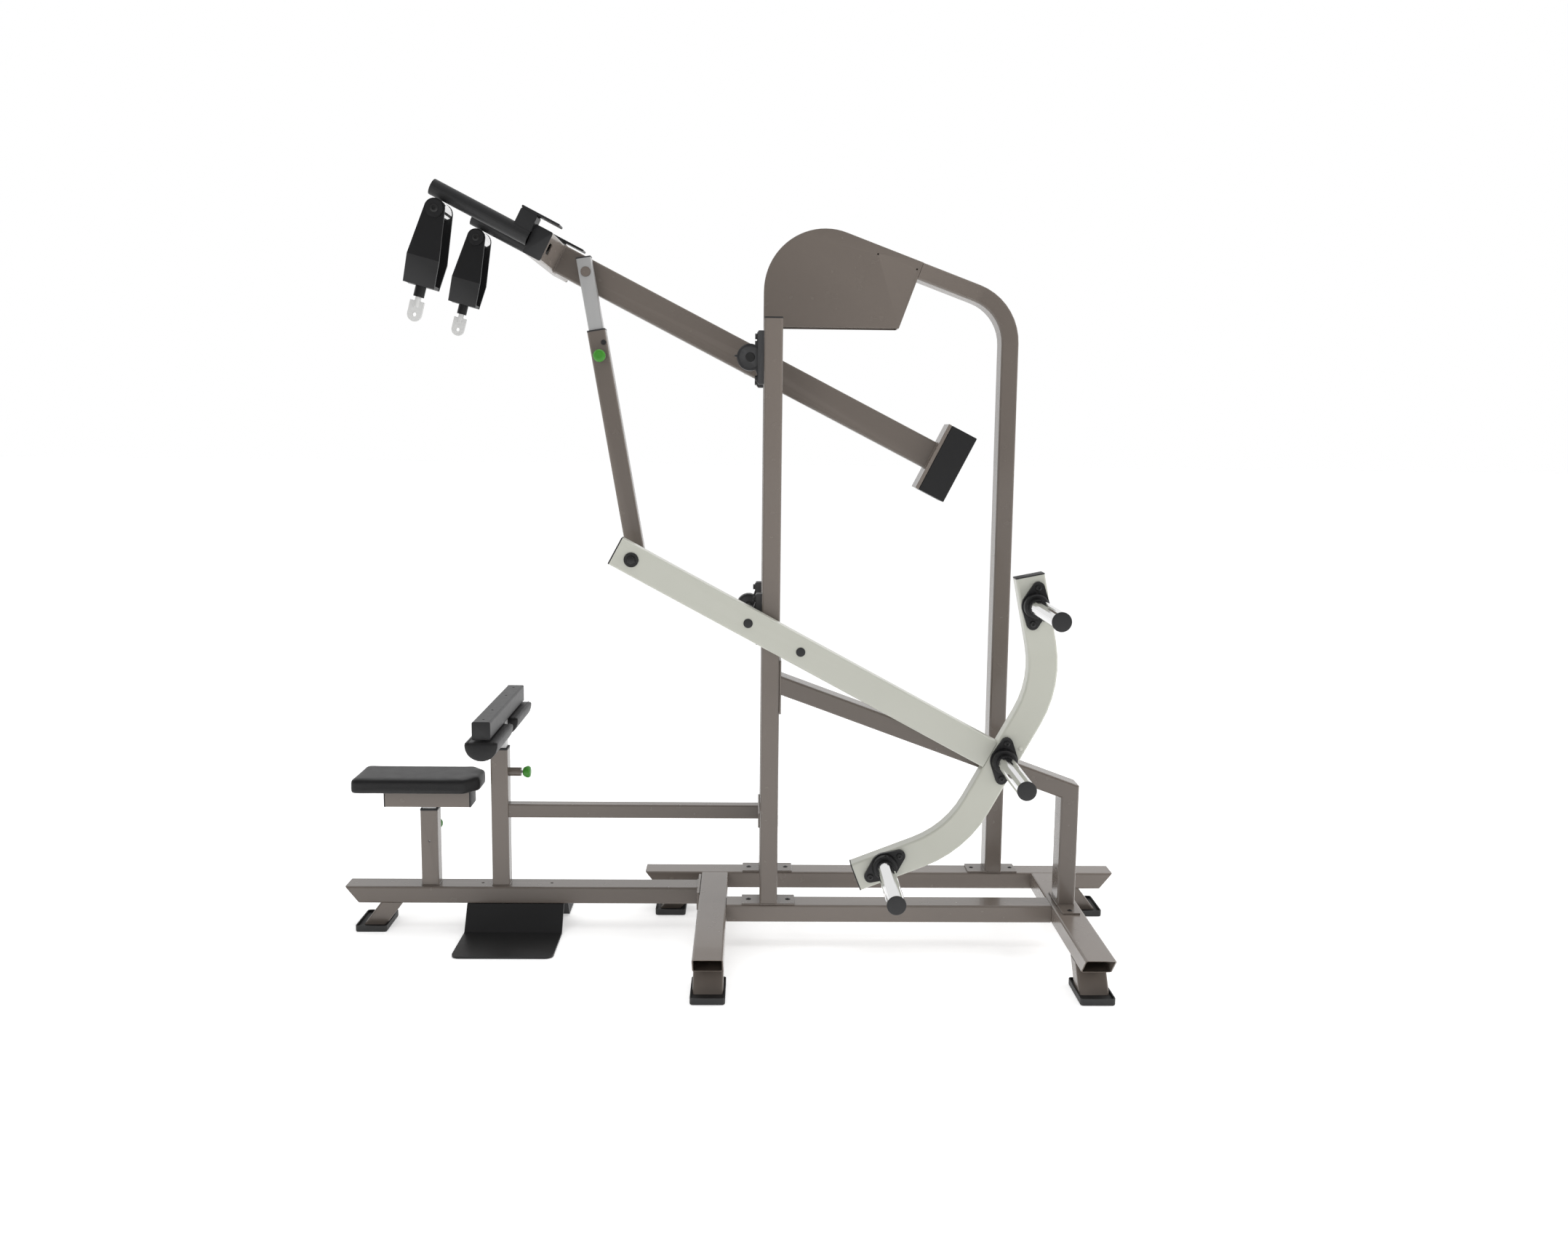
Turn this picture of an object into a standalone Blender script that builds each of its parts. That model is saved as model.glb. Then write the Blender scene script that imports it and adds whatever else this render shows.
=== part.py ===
"""Plate-loaded lat pulldown machine: a welded tube frame, a counterbalanced pull lever, a telescopic
link, a weight arm with three plate horns, and a height-adjustable seat and thigh pad.

Metres, +Z up. The pulling side faces -X, the weight horns point to -Y, the floor is Z = 0.
"""

import math

import bmesh
import bpy
from mathutils import Matrix, Vector

# ---------------------------------------------------------------- driving dimensions
GAP = 0.0003                    # clearance between pieces that touch
SHIFT = Vector((0.088, 0.14125, 0.0))  # moves the finished machine over the middle of its footprint

TUBE_W, TUBE_D = 0.080, 0.050   # main tube, wide and narrow side
WALL, CORNER = 0.003, 0.005     # tube wall and outer corner radius
PLATE = 0.005                   # welded base plates

BASE_Z = 0.102                  # centre height of the floor beams
BASE_TOP = BASE_Z + TUBE_D / 2
BASE_BOTTOM = BASE_Z - TUBE_D / 2
HALF_TRACK = 0.150              # the two uprights and rails stand this far off the middle plane
FRONT_X, REAR_X = -0.1585, 0.845
CROSS_TIP_Y = -0.605
UNDERCUT = 0.050                # slope of the open beam tips
RAIL_X = (-0.369, 1.055)
RAIL_UNDERCUT = 0.040
BENCH_X = (-1.231, -0.2035)
LEG_CUT, LEG_SWEEP = 0.065, 0.052
FOOT = (0.091, 0.142, 0.019)
FOOT_FLOOR = 0.012

UPRIGHT_TOP = 1.753
UPRIGHT_PLATE = 0.150
ARCH_X = 0.6885
ARCH_SLOPE = math.radians(20)
ARCH_RADIUS = 0.1515
ARCH_CENTRE = Vector((0.537, 0.0, 1.7123))
HOOD_CENTRE = Vector((0.151, 0.0, 1.853))
HOOD_RADIUS = 0.1763
HOOD_BOTTOM, HOOD_END = 1.752, 0.2565
BRACE_TOP_Z, BRACE_KNEE = 0.758, (0.8455, 0.4597)
TIE_Z = 0.350

SEAT_X, SEAT_POST_TOP, SEAT_PIN_Z = -0.987, 0.351, 0.284
SEAT_BAR_Z, SEAT_BAR_X = 0.365, (-1.112, -0.862)
SEAT_PAD_Z = (0.4155, 0.460)
THIGH_X, THIGH_POST_TOP, THIGH_PIN_Z = -0.7812, 0.532, 0.463
THIGH_BAR_Z, THIGH_BAR_HALF = 0.618, 0.279
THIGH_PAD_Y, THIGH_PAD_Z, THIGH_PAD_HALF_X = (0.036, 0.296), (0.560, 0.616), 0.047
POST, SLIDER, SLIDER_WALL = 0.050, 0.040, 0.0025
PIN_HOUSING_R, PIN_HOUSING, PIN_ROD_R, KNOB_R, KNOB_T = 0.0127, 0.036, 0.004, 0.017, 0.022

PIVOT_X, UPPER_Z, LOWER_Z = -0.0625, 1.651, 0.939
SHAFT_R = 0.0125
BLOCK_HALF_LENGTH, BLOCK_WIDTH, BLOCK_BASE, BLOCK_R = 0.071, 0.038, 0.0168, 0.036

LEVER_TILT = math.radians(26.9)
LEVER_REAR, LEVER_FRONT = -0.585, 0.5925
CROSS_HALF = 0.262
HANDLE_Y, HANDLE_R, HANDLE_END = 0.265, 0.0212, 0.916
GRIP_ALONG, GRIP_DROP, GRIP_Y = 0.8756, 0.0483, 0.268
CLEVIS_TILT = math.radians(14.7)
CLEVIS_HALF, CLEVIS_FOLD, CLEVIS_END, CLEVIS_T = 0.050, 0.125, 0.195, 0.006
LINK_ALONG, LINK_TILT = 0.505, math.radians(9.85)
LINK_Y, LINK_PIN_R, LINK_LENGTH = -0.055, 0.0135, 0.783

ARM_TILT = math.radians(28.3)
ARM_Y, ARM_FRONT, ARM_REAR = -0.225, 0.4045, -0.7580
ARM_LINK_ALONG = 0.3574
BRACKET = ((0.6995, 1.072), (0.759, 0.779), (0.519, 0.3366), (0.2435, 0.2289))
BRACKET_RADIUS = 0.300
HORNS = (("top", 0.7145, 0.994, 7), ("mid", 0.643, 0.564, 7), ("bottom", 0.321, 0.264, 53))
HORN_R, HORN_END, FLANGE_T, FLANGE_END = 0.024, -0.578, 0.010, -0.280

# ---------------------------------------------------------------- scene, collections, materials
for old in list(bpy.data.objects):
    bpy.data.objects.remove(old, do_unlink=True)

PARTS = bpy.data.collections.new("lat_pulldown_machine")
HELPERS = bpy.data.collections.new("helpers")
HELPERS.hide_render = True
for collection in (PARTS, HELPERS):
    bpy.context.scene.collection.children.link(collection)


def material(name, colour, metallic=0.0, roughness=0.4):
    mat = bpy.data.materials.new(name)
    mat.use_nodes = True
    shader = mat.node_tree.nodes["Principled BSDF"]
    shader.inputs["Base Color"].default_value = (*colour, 1)
    shader.inputs["Metallic"].default_value = metallic
    shader.inputs["Roughness"].default_value = roughness
    return mat


FRAME_PAINT = material("frame_paint", (0.17, 0.145, 0.125), 0.0, 0.25)
ARM_PAINT = material("arm_paint", (0.53, 0.53, 0.46), 0.0, 0.3)
BLACK_PAINT = material("black_paint", (0.03, 0.03, 0.03), 0.0, 0.35)
BLACK_RUBBER = material("black_rubber", (0.02, 0.02, 0.02), 0.0, 0.6)
BLACK_VINYL = material("black_vinyl", (0.025, 0.025, 0.025), 0.0, 0.5)
CHROME = material("chrome", (0.8, 0.8, 0.8), 1.0, 0.12)
SILVER = material("silver_steel", (0.55, 0.55, 0.55), 1.0, 0.3)
GREEN = material("green_plastic", (0.04, 0.22, 0.02), 0.0, 0.4)

X, Y, Z = Vector((1, 0, 0)), Vector((0, 1, 0)), Vector((0, 0, 1))


# ---------------------------------------------------------------- shape helpers
def finish(name, bm, mat, collection=PARTS):
    """Turns a bmesh into an object with its own mesh, smooth except at real edges."""
    bmesh.ops.recalc_face_normals(bm, faces=bm.faces)
    mesh = bpy.data.meshes.new(name)
    bm.to_mesh(mesh)
    bm.free()
    mesh.polygons.foreach_set("use_smooth", [True] * len(mesh.polygons))
    mesh.set_sharp_from_angle(angle=math.radians(32))
    obj = bpy.data.objects.new(name, mesh)
    collection.objects.link(obj)
    if mat:
        mesh.materials.append(mat.copy())
        mesh.materials[0].name = name
    return obj


def helper(bm):
    obj = finish("helper", bm, None, HELPERS)
    obj.display_type = "WIRE"
    obj.hide_render = True
    return obj


def boolean(obj, bm, operation):
    modifier = obj.modifiers.new(operation.lower(), "BOOLEAN")
    modifier.operation = operation
    modifier.solver = "EXACT"
    modifier.object = helper(bm)
    return obj


def add(obj, *shapes):
    for bm in shapes:
        boolean(obj, bm, "UNION")
    return obj


def cut(obj, *shapes):
    for bm in shapes:
        boolean(obj, bm, "DIFFERENCE")
    return obj


def rounded_loop(half_a, half_b, radius, steps=2):
    """Corner points of a rounded rectangle, going round once."""
    points = []
    for quarter in range(4):
        sa, sb = ((1, 1), (-1, 1), (-1, -1), (1, -1))[quarter]
        for step in range(steps + 1):
            angle = math.pi / 2 * (quarter + step / steps)
            points.append(
                (
                    sa * (half_a - radius) + radius * math.cos(angle),
                    sb * (half_b - radius) + radius * math.sin(angle),
                )
            )
    return points


def pull(bm, faces, offset):
    """Extrudes faces by an offset, which may differ for each corner, and returns the new faces."""
    made = bmesh.ops.extrude_face_region(bm, geom=faces)["geom"]
    for corner in made:
        if isinstance(corner, bmesh.types.BMVert):
            corner.co += offset(corner.co)
    return [face for face in made if isinstance(face, bmesh.types.BMFace)]


def tube(path, side, width, depth, wall=WALL, corner=CORNER, start=None, end=None):
    """A rectangular hollow section along a flat path. Bends are mitred; start and end are cut normals."""
    path = [Vector(p) for p in path]
    ways = [(b - a).normalized() for a, b in zip(path, path[1:])]
    cuts = [Vector(start) if start else ways[0]]
    cuts += [(a + b).normalized() for a, b in zip(ways, ways[1:])]
    cuts += [Vector(end) if end else ways[-1]]

    def slide(way, station):
        """Moves a corner along the tube onto the cut at a station of the path."""
        point, normal = path[station], cuts[station]
        return lambda at: way * ((point - at).dot(normal) / way.dot(normal))

    bm = bmesh.new()
    across = side.cross(ways[0])
    outline = rounded_loop(width / 2, depth / 2, corner)
    section = bm.faces.new([bm.verts.new(path[0] + side * a + across * b) for a, b in outline])
    section.normal_update()
    bmesh.ops.inset_region(
        bm, faces=[section], thickness=wall, use_even_offset=True, use_boundary=True
    )
    bmesh.ops.delete(bm, geom=[section], context="FACES")
    for vert in bm.verts:
        vert.co += slide(ways[0], 0)(vert.co)
    faces = list(bm.faces)
    for station, way in enumerate(ways, 1):
        inside = faces if station > 1 else []
        faces = pull(bm, faces, slide(way, station))
        bmesh.ops.delete(bm, geom=inside, context="FACES")
    bmesh.ops.recalc_face_normals(bm, faces=bm.faces)
    return bm


def box(lo, hi, bevel=0.0, segments=2, frame=None):
    bm = bmesh.new()
    bmesh.ops.create_cube(bm, size=1)
    lo, hi = Vector(lo), Vector(hi)
    size = hi - lo
    bmesh.ops.scale(bm, vec=size, verts=bm.verts)
    bmesh.ops.translate(bm, vec=(lo + hi) / 2, verts=bm.verts)
    if bevel:
        bmesh.ops.bevel(
            bm, geom=bm.edges, offset=bevel, segments=segments, profile=0.5, affect="EDGES"
        )
    if frame:
        bmesh.ops.transform(bm, matrix=frame, verts=bm.verts)
    return bm


def frame_of(origin, x_axis, y_axis):
    """Matrix whose local X and Y run along the two directions given."""
    x_axis, y_axis = Vector(x_axis).normalized(), Vector(y_axis).normalized()
    z_axis = x_axis.cross(y_axis)
    matrix = Matrix((x_axis, y_axis, z_axis)).transposed().to_4x4()
    matrix.translation = Vector(origin)
    return matrix


def aim(origin, axis):
    """Matrix whose local Z runs along axis."""
    matrix = Vector(axis).to_track_quat("Z", "Y").to_matrix().to_4x4()
    matrix.translation = Vector(origin)
    return matrix


def rod(start, stop, radius, steps=24, bevel=0.0):
    start, stop = Vector(start), Vector(stop)
    length = (stop - start).length
    bm = bmesh.new()
    bmesh.ops.create_cone(
        bm, cap_ends=True, segments=steps, radius1=radius, radius2=radius, depth=length
    )
    bmesh.ops.translate(bm, vec=(0, 0, length / 2), verts=bm.verts)
    if bevel:
        rims = [e for e in bm.edges if any(len(f.verts) > 4 for f in e.link_faces)]
        bmesh.ops.bevel(bm, geom=rims, offset=bevel, segments=1, profile=0.5, affect="EDGES")
    bmesh.ops.transform(bm, matrix=aim(start, stop - start), verts=bm.verts)
    return bm


def lathe(profile, origin, axis, steps=24, closed=False):
    """Spins (radius, height) pairs about an axis. An open profile starts and ends on the axis."""
    bm = bmesh.new()
    points = [bm.verts.new((radius, 0, height)) for radius, height in profile]
    ends = points[1:] + points[:1] if closed else points[1:]
    line = [bm.edges.new(pair) for pair in zip(points, ends)]
    bmesh.ops.spin(
        bm, geom=points + line, axis=(0, 0, 1), cent=(0, 0, 0), angle=2 * math.pi, steps=steps
    )
    bmesh.ops.remove_doubles(bm, verts=bm.verts, dist=1e-6)
    bmesh.ops.recalc_face_normals(bm, faces=bm.faces)
    bmesh.ops.transform(bm, matrix=aim(origin, axis), verts=bm.verts)
    return bm


def ring(inner, outer, length, origin, axis, steps=28):
    """A hollow cylinder."""
    profile = ((outer, 0), (outer, length), (inner, length), (inner, 0))
    return lathe(profile, origin, axis, steps, closed=True)


def prism(outline, low, high, to_world, bevel=0.0, segments=2):
    """Extrudes a 2-D outline from low to high; to_world(u, v, w) places each point."""
    bm = bmesh.new()
    base = bm.faces.new([bm.verts.new(to_world(u, v, low)) for u, v in outline])
    rise = to_world(0, 0, high) - to_world(0, 0, low)
    lid = pull(bm, [base], lambda at: rise)
    bmesh.ops.recalc_face_normals(bm, faces=bm.faces)
    if bevel:
        rims = [e for cap in (base, *lid) for e in cap.edges]
        bmesh.ops.bevel(
            bm, geom=rims, offset=bevel, segments=segments, profile=0.5, affect="EDGES"
        )
    return bm


def arc(centre, radius, first, last, steps):
    """Points on an arc between two angles in degrees."""
    angles = [math.radians(first + (last - first) * k / steps) for k in range(steps + 1)]
    return [(centre[0] + radius * math.cos(t), centre[1] + radius * math.sin(t)) for t in angles]


def rounded(corners, steps=5):
    """Rounds each (x, y, radius) corner of a polygon."""
    points = []
    for i, (x, y, radius) in enumerate(corners):
        here = Vector((x, y))
        before = Vector(corners[i - 1][:2]) - here
        after = Vector(corners[(i + 1) % len(corners)][:2]) - here
        if radius <= 0:
            points.append((x, y))
            continue
        before.normalize()
        after.normalize()
        half = before.angle(after) / 2
        centre = here + (before + after).normalized() * (radius / math.sin(half))
        start = here + before * (radius / math.tan(half)) - centre
        stop = here + after * (radius / math.tan(half)) - centre
        first = math.atan2(start.y, start.x)
        turn = math.atan2(start.cross(stop), start.dot(stop))
        for k in range(steps + 1):
            t = first + turn * k / steps
            points.append((centre.x + radius * math.cos(t), centre.y + radius * math.sin(t)))
    return points


def hull(circles, steps=10):
    """Outline round two or more circles given as (x, y, radius), in order, convex."""
    points = []
    count = len(circles)
    normals = []
    for i in range(count):
        x0, y0, r0 = circles[i]
        x1, y1, r1 = circles[(i + 1) % count]
        way = math.atan2(y1 - y0, x1 - x0)
        gap = math.hypot(x1 - x0, y1 - y0)
        normals.append(way - math.pi / 2 + math.asin((r0 - r1) / gap))
    for i, (x, y, radius) in enumerate(circles):
        first, last = normals[i - 1], normals[i]
        while last < first:
            last += 2 * math.pi
        for k in range(steps + 1):
            t = first + (last - first) * k / steps
            points.append((x + radius * math.cos(t), y + radius * math.sin(t)))
    return points


def side_plane(y0=0.0):
    """Outline drawn in X-Z, thickness along Y."""
    return lambda u, v, w: Vector((u, y0 + w, v))


def set_origin(obj, point):
    point = Vector(point)
    obj.data.transform(Matrix.Translation(-point))
    obj.location = point
    return obj


# ---------------------------------------------------------------- floor frame
def leg(top, sweep, along, width):
    """Leaning leg under a beam: from just inside its lower wall down to the rubber foot."""
    low = FOOT_FLOOR + GAP
    high = BASE_BOTTOM + WALL / 2
    top = Vector(top)
    drop = Vector(along) * sweep
    side = Vector(along).cross(Z)
    start = top + Z * high
    stop = top + drop + Z * low
    lean = abs(sweep) / (high - low)
    depth = LEG_CUT * math.cos(math.atan(lean))
    return tube([start, stop], side, width, depth, start=-Z, end=-Z)


front = tube(
    [(FRONT_X, CROSS_TIP_Y + UNDERCUT / 2, BASE_Z), (FRONT_X, HALF_TRACK - TUBE_W / 2 - GAP, BASE_Z)],
    X, TUBE_W, TUBE_D, start=(0, 1, UNDERCUT / TUBE_D),
)
front_crossbeam = finish("front_crossbeam", front, FRAME_PAINT)
add(front_crossbeam, leg((FRONT_X, -0.4635, 0), LEG_SWEEP, -Y, TUBE_W - 0.0004))

rear = tube(
    [(REAR_X, CROSS_TIP_Y + UNDERCUT / 2, BASE_Z), (REAR_X, HALF_TRACK - TUBE_W / 2 - GAP, BASE_Z)],
    X, TUBE_W, TUBE_D, start=(0, 1, UNDERCUT / TUBE_D),
)
rear_crossbeam = finish("rear_crossbeam", rear, FRAME_PAINT)
add(rear_crossbeam, leg((REAR_X, -0.4635, 0), LEG_SWEEP, -Y, TUBE_W - 0.0004))

near_rail = finish(
    "near_rail",
    tube(
        [
            (FRONT_X + TUBE_W / 2 + GAP, -HALF_TRACK, BASE_Z),
            (REAR_X - TUBE_W / 2 - GAP, -HALF_TRACK, BASE_Z),
        ],
        Y, TUBE_W, TUBE_D,
    ),
    FRAME_PAINT,
)

far_rail = finish(
    "far_rail",
    tube(
        [
            (RAIL_X[0] + RAIL_UNDERCUT / 2, HALF_TRACK, BASE_Z),
            (RAIL_X[1] - RAIL_UNDERCUT / 2, HALF_TRACK, BASE_Z),
        ],
        Y, TUBE_W, TUBE_D,
        start=(TUBE_D, 0, RAIL_UNDERCUT), end=(TUBE_D, 0, -RAIL_UNDERCUT),
    ),
    FRAME_PAINT,
)
add(
    far_rail,
    leg((-0.240, HALF_TRACK, 0), LEG_SWEEP, -X, TUBE_W - 0.0004),
    leg((0.9205, HALF_TRACK, 0), LEG_SWEEP, X, TUBE_W - 0.0004),
)

bench_beam = finish(
    "bench_beam",
    tube(
        [(BENCH_X[0] + RAIL_UNDERCUT / 2, 0, BASE_Z), (BENCH_X[1], 0, BASE_Z)],
        Y, TUBE_W, TUBE_D, start=(TUBE_D, 0, RAIL_UNDERCUT),
    ),
    FRAME_PAINT,
)
add(
    bench_beam,
    leg((-1.097, 0, 0), 0.050, -X, TUBE_W - 0.0004),
    box((-0.2060, -0.088, BASE_BOTTOM - 0.0005), (-0.1988, 0.088, BASE_TOP + 0.001), 0.0008, 1),
)
for hole_x in (-0.838, -0.636):
    cut(bench_beam, rod((hole_x, 0, BASE_TOP - 0.006), (hole_x, 0, BASE_TOP + 0.006), 0.0045, 20))


def foot(name, x, y, size_x=FOOT[0], size_y=FOOT[1]):
    """Moulded rubber shoe: a shallow tray with rounded corners that the leg stands in."""
    outline = rounded([(x - size_x / 2, y - size_y / 2, 0.008), (x + size_x / 2, y - size_y / 2, 0.008),
                       (x + size_x / 2, y + size_y / 2, 0.008), (x - size_x / 2, y + size_y / 2, 0.008)], 4)
    bm = prism(outline, 0.0, FOOT[2], lambda u, v, w: Vector((u, v, w)))
    under = [e for e in bm.edges if all(v.co.z < 1e-6 for v in e.verts)]
    bmesh.ops.bevel(bm, geom=under, offset=0.004, segments=3, profile=0.5, affect="EDGES")
    lid = max((f for f in bm.faces if f.normal.z > 0.9), key=lambda f: f.calc_area())
    bmesh.ops.inset_region(bm, faces=[lid], thickness=0.0032, use_even_offset=True)
    bmesh.ops.inset_region(bm, faces=[lid], thickness=0.0001, use_even_offset=True)
    bmesh.ops.translate(bm, vec=(0, 0, FOOT_FLOOR - FOOT[2]), verts=lid.verts)
    return finish(name, bm, BLACK_RUBBER)


foot("foot_bench", -1.151, 0)
foot("foot_far_front", -0.2915, HALF_TRACK)
foot("foot_far_rear", 0.9735, HALF_TRACK)
foot("foot_near_front", FRONT_X, -0.5165, size_y=0.147)
foot("foot_near_rear", REAR_X, -0.5165, size_y=0.147)


def footrest(name, sign):
    """Bent plate: a slope welded under the bench beam and a flat tread just off the floor."""
    t, low, tread_z = 0.006, 0.002, 0.008
    section = [(0.040, BASE_BOTTOM - GAP), (0.0335, BASE_BOTTOM - GAP), (0.0855, low), (0.280, low),
               (0.280, tread_z), (0.090, tread_z)]
    x0, x1 = -0.8775, -0.596
    bm = prism([(sign * y, z) for y, z in section], x0, x1, lambda u, v, w: Vector((w, u, v)))
    corners = [e for e in bm.edges
               if all(abs(abs(v.co.y) - 0.280) < 1e-6 for v in e.verts)
               and abs(e.verts[0].co.x - e.verts[1].co.x) < 1e-6]
    bmesh.ops.bevel(bm, geom=corners, offset=0.022, segments=6, profile=0.5, affect="EDGES")
    return finish(name, bm, BLACK_PAINT)


footrest("footrest_near", -1)
footrest("footrest_far", 1)

# ---------------------------------------------------------------- uprights, arch, hood, brace
FOOT_OF_POST = BASE_TOP + GAP
TOP_OF_PLATE = BASE_TOP + PLATE


def upright(name, sign, top):
    y = sign * HALF_TRACK
    obj = finish(name, tube([(0, y, TOP_OF_PLATE - 0.002), (0, y, top)], Y, TUBE_W, TUBE_D), FRAME_PAINT)
    half = UPRIGHT_PLATE / 2
    return add(obj, box((-half, y - 0.039, FOOT_OF_POST), (half, y + 0.039, TOP_OF_PLATE), 0.0008, 1))


upright("near_upright", -1, UPRIGHT_TOP)
upright("far_upright", 1, HOOD_BOTTOM - GAP)

slope_n = Vector((math.sin(ARCH_SLOPE), 0, math.cos(ARCH_SLOPE)))
slope_t = Vector((-math.cos(ARCH_SLOPE), 0, math.sin(ARCH_SLOPE)))
top_line = HOOD_CENTRE.dot(slope_n) + HOOD_RADIUS

bend = arc((ARCH_CENTRE.x, ARCH_CENTRE.z), ARCH_RADIUS, 0, 90 - math.degrees(ARCH_SLOPE), 9)
arch_end = slope_n * (top_line - TUBE_D / 2) + slope_t * (HOOD_END - GAP)
arch = finish(
    "arch",
    tube(
        [(ARCH_X, HALF_TRACK, TOP_OF_PLATE - 0.002)]
        + [(x, HALF_TRACK, z) for x, z in bend]
        + [(arch_end.x, HALF_TRACK, arch_end.z)],
        Y, TUBE_W, TUBE_D,
    ),
    FRAME_PAINT,
)
add(arch, box((0.612, 0.111, FOOT_OF_POST), (0.762, 0.189, TOP_OF_PLATE), 0.0008, 1))


def hood_outline(inset, bottom):
    radius = HOOD_RADIUS - inset
    corner = slope_n * (top_line - inset) + slope_t * (HOOD_END + inset)
    end = HOOD_END + inset
    low_x = (slope_t.z * bottom - end) / math.cos(ARCH_SLOPE)
    return (
        [(HOOD_CENTRE.x - radius, bottom)]
        + arc((HOOD_CENTRE.x, HOOD_CENTRE.z), radius, 180, 90 - math.degrees(ARCH_SLOPE), 22)
        + [(corner.x, corner.z), (low_x, bottom)]
    )


hood = finish(
    "hood",
    prism(hood_outline(0, HOOD_BOTTOM), HALF_TRACK - TUBE_W / 2, HALF_TRACK + TUBE_W / 2,
          side_plane(), 0.0015, 1),
    FRAME_PAINT,
)
cut(hood, prism(hood_outline(WALL, HOOD_BOTTOM - 0.01), HALF_TRACK - TUBE_W / 2 + WALL,
                HALF_TRACK + TUBE_W / 2 - WALL, side_plane()))
for hole in ((0.3005, 1.960), (0.413, 1.919)):
    cut(hood, rod((hole[0], 0.105, hole[1]), (hole[0], 0.118, hole[1]), 0.0026, 16))

brace = finish(
    "brace",
    tube(
        [
            (0.0285, -HALF_TRACK, BRACE_TOP_Z),
            (BRACE_KNEE[0], -HALF_TRACK, BRACE_KNEE[1]),
            (BRACE_KNEE[0], -HALF_TRACK, TOP_OF_PLATE - 0.002),
        ],
        Y, TUBE_W, TUBE_D, start=X,
    ),
    FRAME_PAINT,
)
add(
    brace,
    box((0.0253, -0.1905, 0.677), (0.030, -0.1095, 0.8275), 0.0008, 1),
    box((0.8205, -0.261, FOOT_OF_POST), (0.8705, -0.076, TOP_OF_PLATE), 0.0008, 1),
)
cut(brace, rod((0.020, -HALF_TRACK, BRACE_TOP_Z), (0.036, -HALF_TRACK, BRACE_TOP_Z), 0.014, 24))

upright_tie = finish(
    "upright_tie",
    tube([(0, -0.110 + GAP, TIE_Z), (0, 0.110 - GAP, TIE_Z)], X, 0.050, 0.040, corner=0.004),
    FRAME_PAINT,
)
stretcher = finish(
    "stretcher",
    tube(
        [(THIGH_X + POST / 2 + GAP, 0, TIE_Z), (-0.028, 0, TIE_Z)],
        Y, 0.040, 0.040, corner=0.004,
    ),
    FRAME_PAINT,
)
add(stretcher, box((-0.030, -0.109, TIE_Z - 0.021), (-0.0253, 0.109, TIE_Z + 0.021), 0.0008, 1))


# ---------------------------------------------------------------- seat and thigh pad
def post(name, x, top, pin_z, pin_way):
    """Outer square post with the housing of its sprung pin."""
    obj = finish(name, tube([(x, 0, FOOT_OF_POST), (x, 0, top)], Y, POST, POST), FRAME_PAINT)
    face = Vector((x, 0, pin_z)) + pin_way * (POST / 2)
    add(obj, rod(face - pin_way * 0.0015, face + pin_way * PIN_HOUSING, PIN_HOUSING_R, 20))
    cut(obj, rod(face - pin_way * 0.010, face + pin_way * (PIN_HOUSING + 0.01), PIN_ROD_R + 0.0004, 12))
    return obj


def knob(name, face, way, housing):
    """Sprung pin: a thin rod through the housing and a mushroom grip outside it."""
    face, way = Vector(face), Vector(way)
    clear = housing + 0.005
    profile = [(0, -0.0015), (PIN_ROD_R, -0.0015), (PIN_ROD_R, clear), (0.010, clear),
               (0.0135, clear + 0.003), (KNOB_R, clear + 0.011), (KNOB_R, clear + 0.017),
               (KNOB_R - 0.0035, clear + KNOB_T - 0.001), (KNOB_R - 0.008, clear + KNOB_T),
               (0, clear + KNOB_T)]
    return set_origin(finish(name, lathe(profile, face, way, 20), GREEN), face)


def slider(name, x, low, high, hole_way):
    """Inner square bar with its row of locking holes on the pin side."""
    obj = finish(name, tube([(x, 0, low), (x, 0, high)], Y, SLIDER, SLIDER, SLIDER_WALL, 0.003), SILVER)
    z = low + 0.02
    while z < high - 0.03:
        face = Vector((x, 0, z)) + hole_way * (SLIDER / 2)
        cut(obj, rod(face - hole_way * 0.006, face + hole_way * 0.004, 0.005, 10))
        z += 0.05
    return set_origin(obj, (x, 0, high))


seat_post = post("seat_post", SEAT_X, SEAT_POST_TOP, SEAT_PIN_Z, Y)
cut(seat_post, rod((SEAT_X, -0.030, 0.260), (SEAT_X, -0.020, 0.260), 0.0032, 16))
knob("seat_pin_knob", (SEAT_X, POST / 2, SEAT_PIN_Z), Y, PIN_HOUSING)
slider("seat_inner_post", SEAT_X, 0.150, SEAT_BAR_Z - GAP, Y)
seat_bracket = finish(
    "seat_bracket",
    tube(
        [(SEAT_BAR_X[0] + 0.0038, 0, SEAT_BAR_Z + 0.025), (SEAT_BAR_X[1] - 0.0038, 0, SEAT_BAR_Z + 0.025)],
        Y, TUBE_W, TUBE_D,
    ),
    FRAME_PAINT,
)
seat_outline = rounded(
    [(-1.196, -0.092, 0.014), (-0.869, -0.092, 0.016), (-0.831, -0.046, 0.020),
     (-0.831, 0.046, 0.020), (-0.869, 0.092, 0.016), (-1.196, 0.092, 0.014)], 4,
)
seat_pad = finish(
    "seat_pad",
    prism(seat_outline, SEAT_PAD_Z[0], SEAT_PAD_Z[1], lambda u, v, w: Vector((u, v, w)), 0.008, 3),
    BLACK_VINYL,
)

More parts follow.
